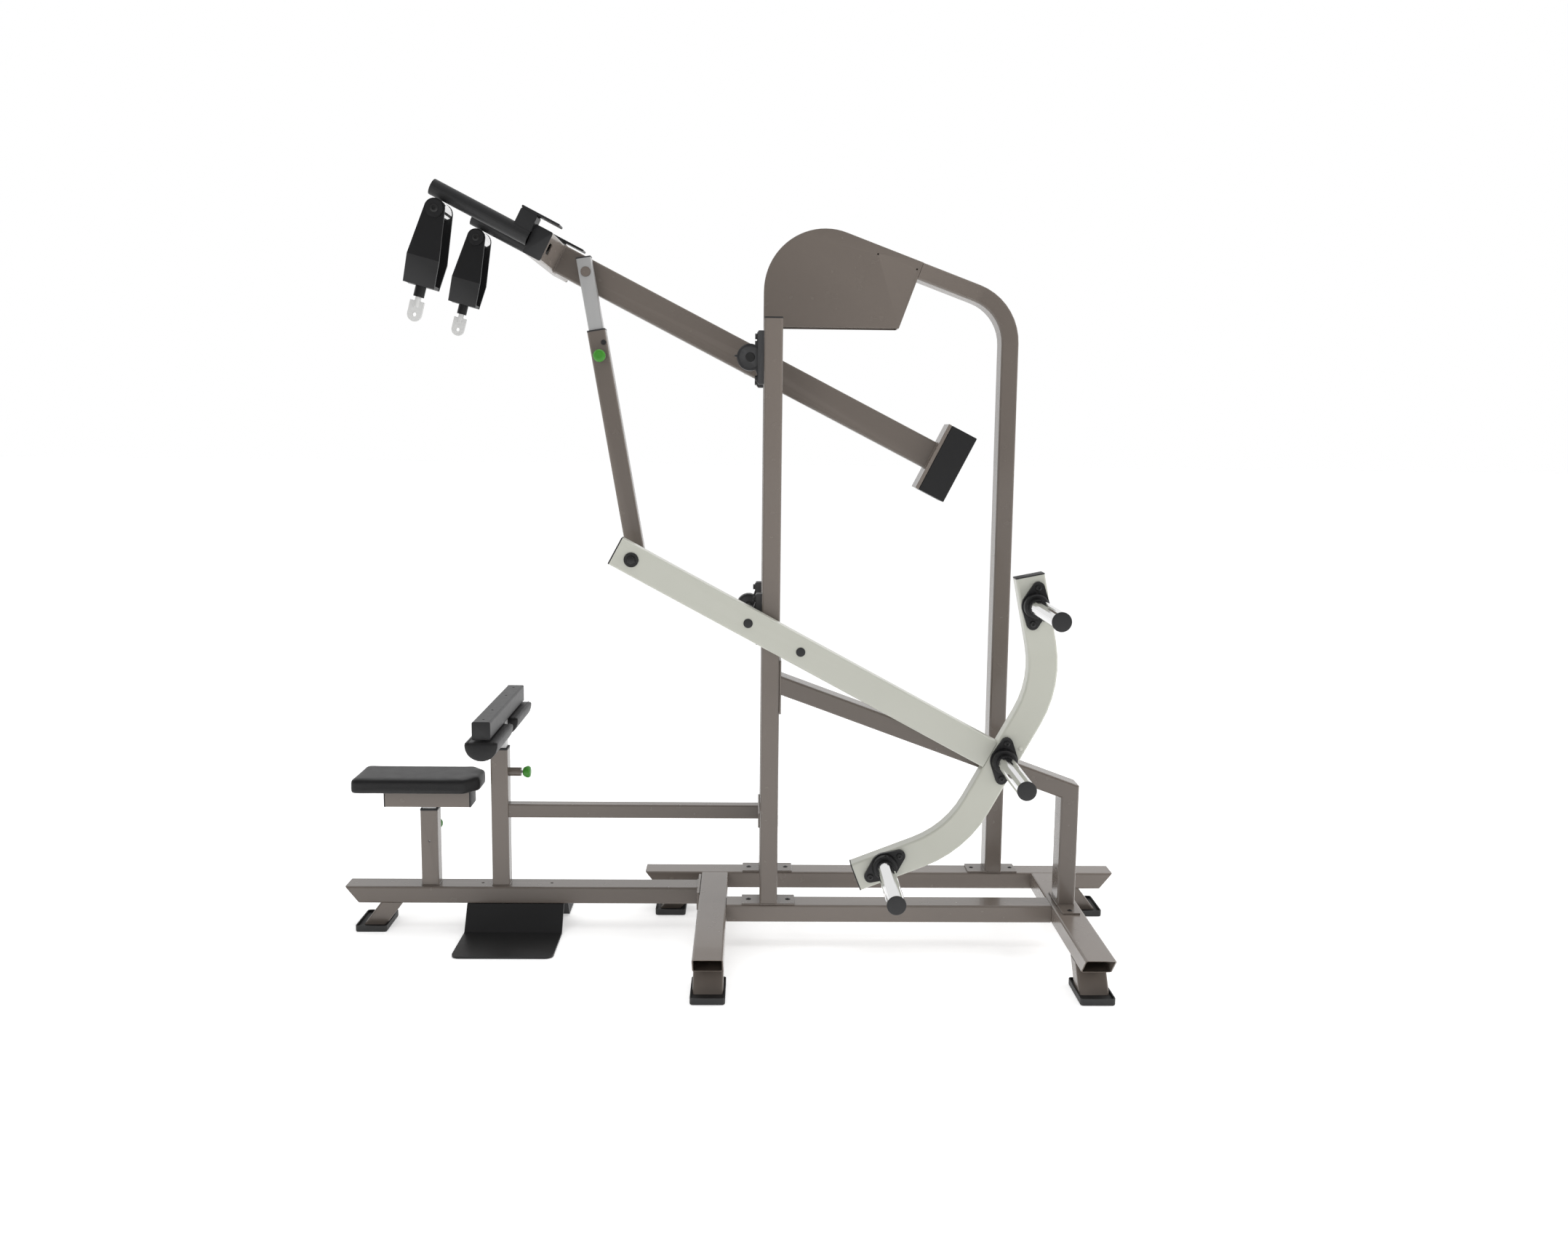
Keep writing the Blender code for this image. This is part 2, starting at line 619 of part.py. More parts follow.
thigh_post = post("thigh_post", THIGH_X, THIGH_POST_TOP, THIGH_PIN_Z, X)
knob("thigh_pin_knob", (THIGH_X + POST / 2, 0, THIGH_PIN_Z), X, PIN_HOUSING)
slider("thigh_inner_post", THIGH_X, 0.260, THIGH_BAR_Z, X)
thigh_crossbar = finish(
    "thigh_crossbar",
    tube(
        [(THIGH_X, -THIGH_BAR_HALF + 0.003, THIGH_BAR_Z + GAP + POST / 2),
         (THIGH_X, THIGH_BAR_HALF - 0.003, THIGH_BAR_Z + GAP + POST / 2)],
        X, POST, POST,
    ),
    BLACK_PAINT,
)
for hole_y in (-0.240, -0.110, 0.110, 0.240):
    top = THIGH_BAR_Z + POST
    cut(thigh_crossbar, rod((THIGH_X, hole_y, top - 0.006), (THIGH_X, hole_y, top + 0.006), 0.0035, 16))

pad_middle = THIGH_X + 0.0012
pad_height = THIGH_PAD_Z[1] - THIGH_PAD_Z[0]
pad_section = [(pad_middle - THIGH_PAD_HALF_X, THIGH_PAD_Z[1]), (pad_middle + THIGH_PAD_HALF_X, THIGH_PAD_Z[1])]
for step in range(1, 16):
    t = math.pi * step / 16
    pad_section.append(
        (pad_middle + THIGH_PAD_HALF_X * math.cos(t), THIGH_PAD_Z[1] - pad_height * math.sin(t) ** 0.8)
    )
for pad_name, low, high in (
    ("thigh_pad_near", -THIGH_PAD_Y[1], -THIGH_PAD_Y[0]),
    ("thigh_pad_far", THIGH_PAD_Y[0], THIGH_PAD_Y[1]),
):
    finish(pad_name, prism(pad_section, low, high, side_plane(), 0.005, 3), BLACK_VINYL)


# ---------------------------------------------------------------- bearings and shafts
def pillow_block(name, y, z):
    """Cast bearing housing bolted to the front of an upright, shaft bore along Y."""
    face = -0.025 - GAP
    half, radius = BLOCK_HALF_LENGTH, BLOCK_R
    half_w = BLOCK_WIDTH / 2
    foot_x = face - BLOCK_BASE
    base = rounded([(face, -half, 0), (face, half, 0), (foot_x, half, 0.004), (foot_x, -half, 0.004)], 2)
    obj = finish(name, prism([(u, z + v) for u, v in base], y - half_w, y + half_w, side_plane()),
                 BLACK_PAINT)
    body = [(face - 0.002, -0.047), (face - 0.002, 0.047), (foot_x - 0.001, 0.047)]
    body += arc((PIVOT_X, 0), radius, 66, 294, 14)
    body += [(foot_x - 0.001, -0.047)]
    add(
        obj,
        prism([(u, z + v) for u, v in body], y - 0.016, y + 0.016, side_plane()),
        rod((PIVOT_X, y - 0.0185, z), (PIVOT_X, y + 0.0185, z), 0.0298, 24),
        rod((PIVOT_X - radius + 0.001, y, z + 0.004), (PIVOT_X - radius - 0.006, y, z + 0.004), 0.003, 10),
    )
    cut(
        obj,
        rod((PIVOT_X, y - 0.03, z), (PIVOT_X, y + 0.03, z), SHAFT_R + GAP, 24),
    )
    return obj


for level, height in (("upper", UPPER_Z), ("lower", LOWER_Z)):
    pillow_block(f"{level}_bearing_near", -HALF_TRACK, height)
    pillow_block(f"{level}_bearing_far", HALF_TRACK, height)

UPPER = Vector((PIVOT_X, 0, UPPER_Z))
LOWER = Vector((PIVOT_X, 0, LOWER_Z))
upper_shaft = finish("upper_shaft", rod(UPPER - Y * 0.1705, UPPER + Y * 0.1705, SHAFT_R, 24, 0.001), SILVER)
set_origin(upper_shaft, UPPER)
lower_shaft = finish("lower_shaft", rod(LOWER - Y * 0.2503, LOWER + Y * 0.1705, SHAFT_R, 24, 0.001), SILVER)
set_origin(lower_shaft, LOWER)

# ---------------------------------------------------------------- pull lever
ahead = Vector((-math.cos(LEVER_TILT), 0, math.sin(LEVER_TILT)))
above = Vector((math.sin(LEVER_TILT), 0, math.cos(LEVER_TILT)))


def lever(along, perp=0.0, y=0.0):
    return UPPER + ahead * along + above * perp + Y * y


lever_frame = frame_of(UPPER, ahead, above)  # local X ahead, Y above, Z along world Y

top_lever = finish(
    "top_lever",
    tube([lever(LEVER_REAR + 0.006), lever(LEVER_FRONT - GAP)], Y, TUBE_D, TUBE_W),
    FRAME_PAINT,
)
add(
    top_lever,
    box((LEVER_REAR, -0.100, -0.050), (LEVER_REAR + 0.010, 0.100, 0.050), 0.001, 1, lever_frame),
    rod(lever(LINK_ALONG, 0, -0.0235), lever(LINK_ALONG, 0, LINK_Y - 0.0225), LINK_PIN_R, 24),
)
cut(top_lever, rod(lever(0, 0, -0.03), lever(0, 0, 0.03), SHAFT_R + GAP, 24))
set_origin(top_lever, UPPER)

counterweight = finish(
    "counterweight",
    box((LEVER_REAR - 0.0795, -0.100, -0.050), (LEVER_REAR - GAP, 0.100, 0.050), 0.002, 2, lever_frame),
    BLACK_PAINT,
)
set_origin(counterweight, UPPER)

lever_crosspiece = finish(
    "lever_crosspiece",
    tube(
        [lever(LEVER_FRONT + TUBE_D / 2, 0, -CROSS_HALF), lever(LEVER_FRONT + TUBE_D / 2, 0, CROSS_HALF)],
        above, TUBE_W, TUBE_D,
    ),
    FRAME_PAINT,
)
for slot_y in (-0.220, 0.220):
    cut(lever_crosspiece, box((LEVER_FRONT - 0.020, -0.015, slot_y - 0.024),
                              (LEVER_FRONT + 0.020, 0.015, slot_y + 0.024), 0.008, 2, lever_frame))
set_origin(lever_crosspiece, UPPER)

HANDLE_START = LEVER_FRONT + TUBE_D + GAP
down = Vector((-math.sin(CLEVIS_TILT), 0, -math.cos(CLEVIS_TILT)))
across = Vector((math.cos(CLEVIS_TILT), 0, -math.sin(CLEVIS_TILT)))

for side_name, sign in (("near", -1), ("far", 1)):
    y = sign * HANDLE_Y
    handle = finish(
        f"handle_tube_{side_name}",
        ring(HANDLE_R - WALL, HANDLE_R, HANDLE_END - HANDLE_START, lever(HANDLE_START, 0, y), ahead, 28),
        BLACK_PAINT,
    )
    set_origin(handle, UPPER)

    block = rounded([(HANDLE_START + 0.0003, 0.014, 0), (0.690, 0.014, 0), (0.690, 0.0608, 0.006),
                     (HANDLE_START + 0.0003, 0.0608, 0.006)], 3)
    y_mid = sign * 0.252
    stop_plate = finish(
        f"stop_plate_{side_name}",
        prism(block, -0.029, 0.029, lambda u, v, w, m=y_mid: lever(u, v, m + w)),
        BLACK_PAINT,
    )
    add(stop_plate, box((0.584, 0.0603, y_mid - 0.030), (0.6905, 0.0663, y_mid + 0.030), 0.0012, 1,
                        lever_frame))
    cut(stop_plate, rod(lever(0.630, 0, y), lever(0.700, 0, y), HANDLE_R + GAP, 28))
    set_origin(stop_plate, UPPER)

    grip = lever(GRIP_ALONG, -GRIP_DROP, sign * GRIP_Y)
    drum = finish(
        f"pivot_drum_{side_name}",
        ring(0.0084, 0.0255, 2 * 0.0435, grip - Y * 0.0435, Y, 24),
        CHROME,
    )
    set_origin(drum, grip)

    def clevis_plate(way, origin=grip):
        """Side plate with a round top, folded inward towards its lower edge."""
        outer, inner = CLEVIS_HALF, CLEVIS_HALF - 0.020
        upper = [(0.042, CLEVIS_FOLD)] + [(r, -h) for r, h in arc((0, 0), 0.0265, 14, 166, 12)]
        upper += [(-0.042, CLEVIS_FOLD)]
        bm = bmesh.new()
        tops = [bm.verts.new(origin + across * u + down * v + Y * way * outer) for u, v in upper]
        lows = [bm.verts.new(origin + across * u + down * CLEVIS_END + Y * way * inner) for u in (-0.041, 0.041)]
        sheet = [bm.faces.new(tops), bm.faces.new([tops[-1], *lows, tops[0]])]
        pull(bm, sheet, lambda at: -Y * way * CLEVIS_T)
        bmesh.ops.recalc_face_normals(bm, faces=bm.faces)
        return bm

    clevis_frame = frame_of(grip, across, down)  # local X across, Y down, Z along world Y
    clevis = finish(f"clevis_{side_name}", clevis_plate(1), BLACK_PAINT)
    add(
        clevis,
        clevis_plate(-1),
        box((-0.040, 0.187, -0.0265), (0.040, 0.1945, 0.0265), 0, 1, clevis_frame),
        rod(grip - Y * 0.054, grip + Y * 0.054, 0.008, 16),
        rod(grip - Y * 0.0545, grip - Y * 0.0485, 0.0227, 24),
        rod(grip + Y * 0.0485, grip + Y * 0.0545, 0.0227, 24),
        rod(grip + down * 0.190, grip + down * 0.223, 0.014, 20),
    )
    cut(clevis, rod(grip + down * 0.180, grip + down * 0.230, 0.0081, 20))
    set_origin(clevis, grip)

    swivel = finish(
        f"swivel_{side_name}",
        lathe([(0, 0.172), (0.0125, 0.172), (0.0125, 0.1865), (0.0078, 0.1865), (0.0078, 0.250), (0, 0.250)],
              grip, down, 16),
        CHROME,
    )
    eye = [(-0.0189, 0.234), (0.0189, 0.234)]
    eye += [(u, v) for u, v in arc((0, 0.2685), 0.0189, 0, 180, 12)]
    add(swivel, prism(eye, -0.004, 0.004,
                      lambda u, v, w, g=grip: g + across * u + down * v + Y * w, 0.0008, 1))
    cut(swivel, rod(grip + down * 0.269 - Y * 0.01, grip + down * 0.269 + Y * 0.01, 0.0054, 20))
    set_origin(swivel, grip + down * 0.1865)

# ---------------------------------------------------------------- telescopic link
link_top = lever(LINK_ALONG, 0, LINK_Y)
link_down = Vector((math.sin(LINK_TILT), 0, -math.cos(LINK_TILT)))

link_inner = finish(
    "link_inner",
    tube([link_top - link_down * 0.037, link_top + link_down * 0.420], Y, SLIDER, SLIDER,
         SLIDER_WALL, 0.003),
    SILVER,
)
cut(link_inner, rod(link_top - Y * 0.03, link_top + Y * 0.03, LINK_PIN_R + GAP, 24))
set_origin(link_inner, link_top)

link_outer = finish(
    "link_outer",
    tube([link_top + link_down * 0.161, link_top + link_down * (LINK_LENGTH + 0.028)], Y, POST, POST),
    FRAME_PAINT,
)
link_face = link_top + link_down * 0.230 - Y * (POST / 2)
add(link_outer, rod(link_face + Y * 0.0015, link_face - Y * 0.012, PIN_HOUSING_R, 20))
cut(link_outer, rod(link_face + Y * 0.008, link_face - Y * 0.016, PIN_ROD_R + 0.0004, 12))
set_origin(link_outer, link_top + link_down * LINK_LENGTH)
knob("link_pin_knob", link_face, -Y, 0.012)

# ---------------------------------------------------------------- weight arm
arm_ahead = Vector((-math.cos(ARM_TILT), 0, math.sin(ARM_TILT)))
ARM_PIVOT = LOWER + Y * ARM_Y

lower_arm = finish(
    "lower_arm",
    tube([ARM_PIVOT + arm_ahead * ARM_REAR, ARM_PIVOT + arm_ahead * ARM_FRONT], Y, TUBE_D, TUBE_W),
    ARM_PAINT,
)
link_pin = LOWER + arm_ahead * ARM_LINK_ALONG
add(lower_arm, rod(link_pin + Y * (ARM_Y + 0.0235), link_pin + Y * (LINK_Y - POST / 2 - 0.0005), 0.0125, 20))
cut(lower_arm, rod(ARM_PIVOT - Y * 0.03, ARM_PIVOT + Y * 0.03, SHAFT_R + GAP, 24))
set_origin(lower_arm, ARM_PIVOT)


def bent_path(corners, radius, steps):
    """Straight legs joined by arcs of one radius."""
    points = [Vector((corners[0][0], ARM_Y, corners[0][1]))]
    for before, here, after in zip(corners, corners[1:], corners[2:]):
        a = Vector(before) - Vector(here)
        b = Vector(after) - Vector(here)
        half = a.angle(b) / 2
        reach = radius / math.tan(half)
        centre = Vector(here) + (a.normalized() + b.normalized()).normalized() * radius / math.sin(half)
        start = Vector(here) + a.normalized() * reach - centre
        stop = Vector(here) + b.normalized() * reach - centre
        turn = math.atan2(start.cross(stop), start.dot(stop))
        first = math.atan2(start.y, start.x)
        for k in range(steps + 1):
            t = first + turn * k / steps
            points.append(
                Vector((centre.x + radius * math.cos(t), ARM_Y, centre.y + radius * math.sin(t)))
            )
    points.append(Vector((corners[-1][0], ARM_Y, corners[-1][1])))
    return points


weight_bracket = finish(
    "weight_bracket",
    tube(bent_path(BRACKET, BRACKET_RADIUS, 6), Y, TUBE_D, TUBE_W),
    ARM_PAINT,
)
set_origin(weight_bracket, ARM_PIVOT)

FLANGE_FACE = ARM_Y - TUBE_D / 2 - GAP
for horn_name, x, z, lean in HORNS:
    turn = -math.radians(lean)  # the upper lobe leans towards +X
    lobe_u, lobe_v = math.sin(turn), math.cos(turn)
    reach = 0.050

    def on_bracket(u, v, w, x=x, z=z, lobe_u=lobe_u, lobe_v=lobe_v):
        return Vector((x + u * lobe_v - v * lobe_u, FLANGE_FACE - w, z + u * lobe_u + v * lobe_v))

    outline = hull([(0.0001, -reach, 0.0165), (0.0, 0.0, 0.0380), (0.0001, reach, 0.0165),
                    (-0.0001, 0.0, 0.0380)], 6)
    flange = finish(f"horn_flange_{horn_name}", prism(outline, 0, FLANGE_T, on_bracket), BLACK_PAINT)
    centre = Vector((x, FLANGE_FACE, z))
    for lobe in (-reach, reach):
        hole = on_bracket(0, lobe, 0)
        cut(flange, rod(hole + Y * 0.005, hole - Y * 0.015, 0.0055, 14))
    boss = [(HORN_R + GAP, 0.004), (0.0350, 0.004), (0.0350, 0.016), (0.0335, 0.0255), (0.0312, 0.0285),
            (HORN_R + GAP, 0.0285)]
    add(flange, lathe(boss, centre, -Y, 28, closed=True))
    socket = centre - Y * FLANGE_T
    set_origin(flange, ARM_PIVOT)
    horn = finish(
        f"weight_horn_{horn_name}",
        ring(HORN_R - WALL, HORN_R, socket.y - GAP - HORN_END, socket - Y * GAP, -Y, 28),
        CHROME,
    )
    set_origin(horn, ARM_PIVOT)

# ---------------------------------------------------------------- place over the footprint middle
for obj in list(PARTS.objects) + list(HELPERS.objects):
    obj.location = obj.location + SHIFT
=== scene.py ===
"""Looks for the plate-loaded lat pulldown machine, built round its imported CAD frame.

Metres, +Z up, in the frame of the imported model. The pulling side faces -X, the weight horns -Y.
"""

import math

import bmesh
import bpy
from mathutils import Matrix, Vector, noise


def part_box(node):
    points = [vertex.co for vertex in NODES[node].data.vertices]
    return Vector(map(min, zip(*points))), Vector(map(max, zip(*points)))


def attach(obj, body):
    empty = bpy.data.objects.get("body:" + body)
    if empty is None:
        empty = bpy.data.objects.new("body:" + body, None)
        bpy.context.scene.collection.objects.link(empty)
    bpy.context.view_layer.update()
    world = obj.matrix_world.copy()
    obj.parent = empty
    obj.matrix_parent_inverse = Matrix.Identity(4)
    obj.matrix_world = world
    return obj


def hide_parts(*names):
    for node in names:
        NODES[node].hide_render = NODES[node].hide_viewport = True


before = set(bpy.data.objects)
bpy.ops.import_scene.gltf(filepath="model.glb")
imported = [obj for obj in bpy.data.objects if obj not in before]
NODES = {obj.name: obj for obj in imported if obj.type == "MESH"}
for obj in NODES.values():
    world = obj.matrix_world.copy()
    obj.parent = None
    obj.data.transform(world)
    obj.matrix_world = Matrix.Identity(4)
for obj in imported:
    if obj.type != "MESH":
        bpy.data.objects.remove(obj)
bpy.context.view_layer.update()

# ---------------------------------------------------------------- where things are
# the design frame's origin, between the uprights, on the floor
ORIGIN = Vector((0.088, 0.14125, 0.0))
X, Y, Z = Vector((1, 0, 0)), Vector((0, 1, 0)), Vector((0, 0, 1))
UPPER = ORIGIN + Vector((-0.0625, 0, 1.651))
LOWER = ORIGIN + Vector((-0.0625, 0, 0.939))
HALF_TRACK = 0.150
PLATE_TOP = 0.1321                     # just clear of the plates welded to the rails
FLUSH = 0.0014                         # height of the low black screws over the holes in those plates; their black is painted shade standing in for the dark inside the holes
LEVER_TILT, ARM_TILT, LINK_TILT = (math.radians(a) for a in (26.9, 28.3, 9.85))
AHEAD = Vector((-math.cos(LEVER_TILT), 0, math.sin(LEVER_TILT)))
ABOVE = Vector((math.sin(LEVER_TILT), 0, math.cos(LEVER_TILT)))
ARM_AHEAD = Vector((-math.cos(ARM_TILT), 0, math.sin(ARM_TILT)))
LINK_DOWN = Vector((math.sin(LINK_TILT), 0, -math.cos(LINK_TILT)))
LINK_TOP = UPPER + AHEAD * 0.505 - Y * 0.055
ARM_FACE_Y = ORIGIN.y - 0.250          # outer face of the weight arm
WIDE, NARROW = 0.040, 0.025            # half sides of the 80 x 50 tube
SLEEVE, SLEEVE_HOLE = 0.0252, 0.0049   # half side and rim width of the square collars
SEAM_STEPS = 60                        # steps along a seam
# name, x, z and lean in degrees
HORNS = (("top", 0.7145, 0.994, 7), ("mid", 0.643, 0.564, 7), ("bottom", 0.321, 0.264, 53))


def at(x, y, z):
    """A point given in the design frame."""
    return ORIGIN + Vector((x, y, z))


# ---------------------------------------------------------------- materials
def surface(name, colours, grain, rough, metallic=0.0, bump=0.1, depth=0.0004, coat=0.0, wear=0.0,
            stretch=(1, 1, 1), leather=False, sheen=0.0, gleam=0.5):
    """A procedural finish: colour drift, uneven gloss, fine relief and, if asked, worn edges."""
    mat = bpy.data.materials.new(name)
    mat.use_nodes = True
    tree = mat.node_tree
    shader = tree.nodes["Principled BSDF"]
    shader.inputs["Metallic"].default_value = metallic
    shader.inputs["Specular IOR Level"].default_value = gleam
    shader.inputs["Coat Weight"].default_value = coat
    shader.inputs["Coat Roughness"].default_value = 0.06
    shader.inputs["Sheen Weight"].default_value = sheen

    def node(kind, **values):
        made = tree.nodes.new(kind)
        for key, value in values.items():
            if key in made.inputs:
                made.inputs[key].default_value = value
            else:
                setattr(made, key, value)
        return made

    place = node("ShaderNodeTexCoord")
    mapping = node("ShaderNodeMapping")
    mapping.inputs["Scale"].default_value = stretch
    tree.links.new(place.outputs["Object"], mapping.inputs["Vector"])

    def noise_at(scale, detail=3.0):
        made = node("ShaderNodeTexNoise", Scale=scale, Detail=detail)
        tree.links.new(mapping.outputs["Vector"], made.inputs["Vector"])
        return made

    drift, fine = noise_at(4.0), noise_at(grain)
    tint = node("ShaderNodeMix", data_type="RGBA")
    tint.inputs[6].default_value = (*colours[0], 1)
    tint.inputs[7].default_value = (*colours[1], 1)
    tree.links.new(drift.outputs["Fac"], tint.inputs[0])
    colour = tint.outputs[2]

    gloss = node("ShaderNodeMapRange")
    gloss.inputs["To Min"].default_value, gloss.inputs["To Max"].default_value = rough
    tree.links.new(noise_at(grain / 12).outputs["Fac"], gloss.inputs["Value"])

    relief = fine.outputs["Fac"]
    if leather:
        cells = node("ShaderNodeTexVoronoi", Scale=grain, feature="DISTANCE_TO_EDGE")
        bend = node("ShaderNodeMix", data_type="VECTOR")
        bend.inputs[0].default_value = 0.0012
        tree.links.new(mapping.outputs["Vector"], bend.inputs[4])
        tree.links.new(noise_at(grain * 0.6).outputs["Color"], bend.inputs[5])
        tree.links.new(bend.outputs[1], cells.inputs["Vector"])
        crease = node("ShaderNodeMapRange")
        crease.inputs["From Max"].default_value = 0.28
        tree.links.new(cells.outputs["Distance"], crease.inputs["Value"])
        relief = crease.outputs["Result"]
        # painted shade: the colour is darkened along the creases of the leather grain
        crease_shade = node("ShaderNodeMix", data_type="RGBA", blend_type="MULTIPLY")
        crease_shade.inputs[0].default_value = 0.45
        tree.links.new(colour, crease_shade.inputs[6])
        tree.links.new(relief, crease_shade.inputs[7])
        colour = crease_shade.outputs[2]
    if wear:
        edge = node("ShaderNodeNewGeometry")
        band = node("ShaderNodeMapRange")
        band.inputs["From Min"].default_value, band.inputs["From Max"].default_value = 0.53, 0.62
        band.inputs["To Max"].default_value = wear
        tree.links.new(edge.outputs["Pointiness"], band.inputs["Value"])
        rubbed = node("ShaderNodeMix", data_type="RGBA")
        rubbed.inputs[7].default_value = (*[min(1.0, c * 2.2 + 0.03) for c in colours[1]], 1)
        tree.links.new(band.outputs["Result"], rubbed.inputs[0])
        tree.links.new(colour, rubbed.inputs[6])
        colour = rubbed.outputs[2]
    tree.links.new(colour, shader.inputs["Base Color"])
    tree.links.new(gloss.outputs["Result"], shader.inputs["Roughness"])
    hills = node("ShaderNodeBump", Strength=bump, Distance=depth)
    tree.links.new(relief, hills.inputs["Height"])
    tree.links.new(hills.outputs["Normal"], shader.inputs["Normal"])
    return mat


FRAME_PAINT = surface("frame_paint", ((0.1325, 0.112, 0.097), (0.140, 0.1185, 0.1025)), 300, (0.24, 0.29),
                      bump=0.006, coat=0.2, wear=0.2, gleam=0.4)
ARM_PAINT = surface("arm_paint", ((0.48, 0.485, 0.425), (0.495, 0.50, 0.437)), 300, (0.28, 0.32),
                    bump=0.004, coat=0.15, wear=0.05)
BLACK_PAINT = surface("black_paint", ((0.0065, 0.0065, 0.007), (0.0095, 0.0095, 0.010)), 800, (0.36, 0.44),
                      bump=0.02, wear=0.3, gleam=0.3)
CAST_BLACK = surface("cast_black", ((0.015, 0.015, 0.016), (0.024, 0.024, 0.025)), 420, (0.42, 0.6),
                     bump=0.35, wear=0.6)
CAP_PLASTIC = surface("cap_plastic", ((0.013, 0.013, 0.014), (0.018, 0.018, 0.019)), 900, (0.45, 0.6),
                      bump=0.15)
RUBBER = surface("foot_rubber", ((0.009, 0.009, 0.009), (0.014, 0.014, 0.014)), 520, (0.5, 0.68),
                 bump=0.25, wear=0.3)
VINYL = surface("pad_vinyl", ((0.009, 0.009, 0.0095), (0.012, 0.012, 0.0125)), 340, (0.40, 0.52),
                bump=0.35, depth=0.0005, leather=True, sheen=0.02, gleam=0.4)
THREAD = surface("seam_thread", ((0.008, 0.008, 0.008), (0.016, 0.016, 0.016)), 1500, (0.5, 0.7),
                 bump=0.5)
CHROME = surface("chrome", ((0.72, 0.72, 0.72), (0.80, 0.80, 0.80)), 60, (0.05, 0.13), metallic=1.0,
                 bump=0.01)
BRUSHED = surface("brushed_steel", ((0.46, 0.46, 0.46), (0.54, 0.54, 0.535)), 260, (0.28, 0.42),
                  metallic=0.55, bump=0.10, stretch=(6, 6, 0.25))
SATIN = surface("satin_steel", ((0.58, 0.58, 0.57), (0.62, 0.62, 0.61)), 240, (0.50, 0.60), bump=0.008)
ZINC = surface("zinc_bolt", ((0.36, 0.36, 0.36), (0.46, 0.46, 0.45)), 300, (0.28, 0.42), metallic=1.0,
               bump=0.08)
BLACK_BOLT = surface("black_bolt", ((0.012, 0.012, 0.012), (0.02, 0.02, 0.02)), 500, (0.32, 0.5),
                     metallic=0.4, bump=0.12, wear=0.4)
GREEN = surface("green_plastic", ((0.035, 0.205, 0.016), (0.045, 0.235, 0.020)), 500, (0.32, 0.44),
                bump=0.08, wear=0.2)
BUTTON = surface("pale_plastic", ((0.52, 0.52, 0.46), (0.58, 0.58, 0.52)), 500, (0.35, 0.5), bump=0.05)

FINISHES = {
    "lower_arm": ARM_PAINT, "weight_bracket": ARM_PAINT,
    "counterweight": BLACK_PAINT, "lever_crosspiece": FRAME_PAINT, "thigh_crossbar": BLACK_PAINT,
    "seat_inner_post": BRUSHED, "thigh_inner_post": BRUSHED, "link_inner": BRUSHED,
    "upper_shaft": BLACK_BOLT, "lower_shaft": BLACK_BOLT,
}
BY_START = (
    ("foot_", RUBBER), ("footrest_", BLACK_PAINT), ("handle_tube", BLACK_PAINT), ("stop_plate", BLACK_PAINT),
    ("clevis_", BLACK_PAINT), ("pivot_drum", CHROME), ("swivel_", SATIN), ("weight_horn", CHROME),
    ("horn_flange", BLACK_PAINT), ("upper_bearing", CAST_BLACK), ("lower_bearing", CAST_BLACK),
    ("seat_pin_knob", GREEN), ("thigh_pin_knob", GREEN), ("link_pin_knob", GREEN),
    ("seat_pad", VINYL), ("thigh_pad", VINYL),
)
for name, obj in NODES.items():
    found = FINISHES.get(name) or next((m for start, m in BY_START if name.startswith(start)), FRAME_PAINT)
    obj.data.materials.clear()
    obj.data.materials.append(found)

# the pins are turned steel inside their green grips
for name, axis in (("seat_pin_knob", Y), ("thigh_pin_knob", X), ("link_pin_knob", -Y)):
    mesh = NODES[name].data
    mesh.materials.append(ZINC)
    low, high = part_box(name)
    centre = (low + high) / 2
    for face in mesh.polygons:
        off = face.center - centre
        if (off - axis * off.dot(axis)).length < 0.0042 and abs(face.normal.dot(axis)) < 0.5:
            face.material_index = 1


# ---------------------------------------------------------------- piece helpers
def piece(name, bm, mat, body, angle=35):
    bmesh.ops.recalc_face_normals(bm, faces=bm.faces)
    mesh = bpy.data.meshes.new(name)
    bm.to_mesh(mesh)
    bm.free()
    mesh.materials.append(mat)
    mesh.polygons.foreach_set("use_smooth", [True] * len(mesh.polygons))
    mesh.set_sharp_from_angle(angle=math.radians(angle))
    obj = bpy.data.objects.new(name, mesh)
    bpy.context.scene.collection.objects.link(obj)
    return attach(obj, body)


def axes(origin, x_axis, y_axis):
    x_axis, y_axis = x_axis.normalized(), y_axis.normalized()
    made = Matrix((x_axis, y_axis, x_axis.cross(y_axis))).transposed().to_4x4()
    made.translation = origin
    return made


def cap_frame(origin, first, outward):
    """Matrix whose local X runs along first and whose local Z points outward."""
    return axes(origin, first, outward.cross(first))


def facing(origin, axis):
    made = axis.to_track_quat("Z", "Y").to_matrix().to_4x4()
    made.translation = origin
    return made


def rounded(half_a, half_b, radius, steps=4):
    points = []
    for quarter, (sa, sb) in enumerate(((1, 1), (-1, 1), (-1, -1), (1, -1))):
        for step in range(steps + 1):
            turn = math.pi / 2 * (quarter + step / steps)
            points.append((sa * (half_a - radius) + radius * math.cos(turn),
                           sb * (half_b - radius) + radius * math.sin(turn)))
    return points


def turned(profile, origin, axis, steps=32, closed=False):
    """Spins (radius, height) pairs about an axis."""
    bm = bmesh.new()
    points = [bm.verts.new((r, 0, h)) for r, h in profile]
    ends = points[1:] + points[:1] if closed else points[1:]
    line = [bm.edges.new(pair) for pair in zip(points, ends)]
    bmesh.ops.spin(bm, geom=points + line, axis=(0, 0, 1), cent=(0, 0, 0), angle=2 * math.pi, steps=steps)
    bmesh.ops.remove_doubles(bm, verts=bm.verts, dist=1e-6)
    bmesh.ops.transform(bm, matrix=facing(origin, axis), verts=bm.verts)
    return bm


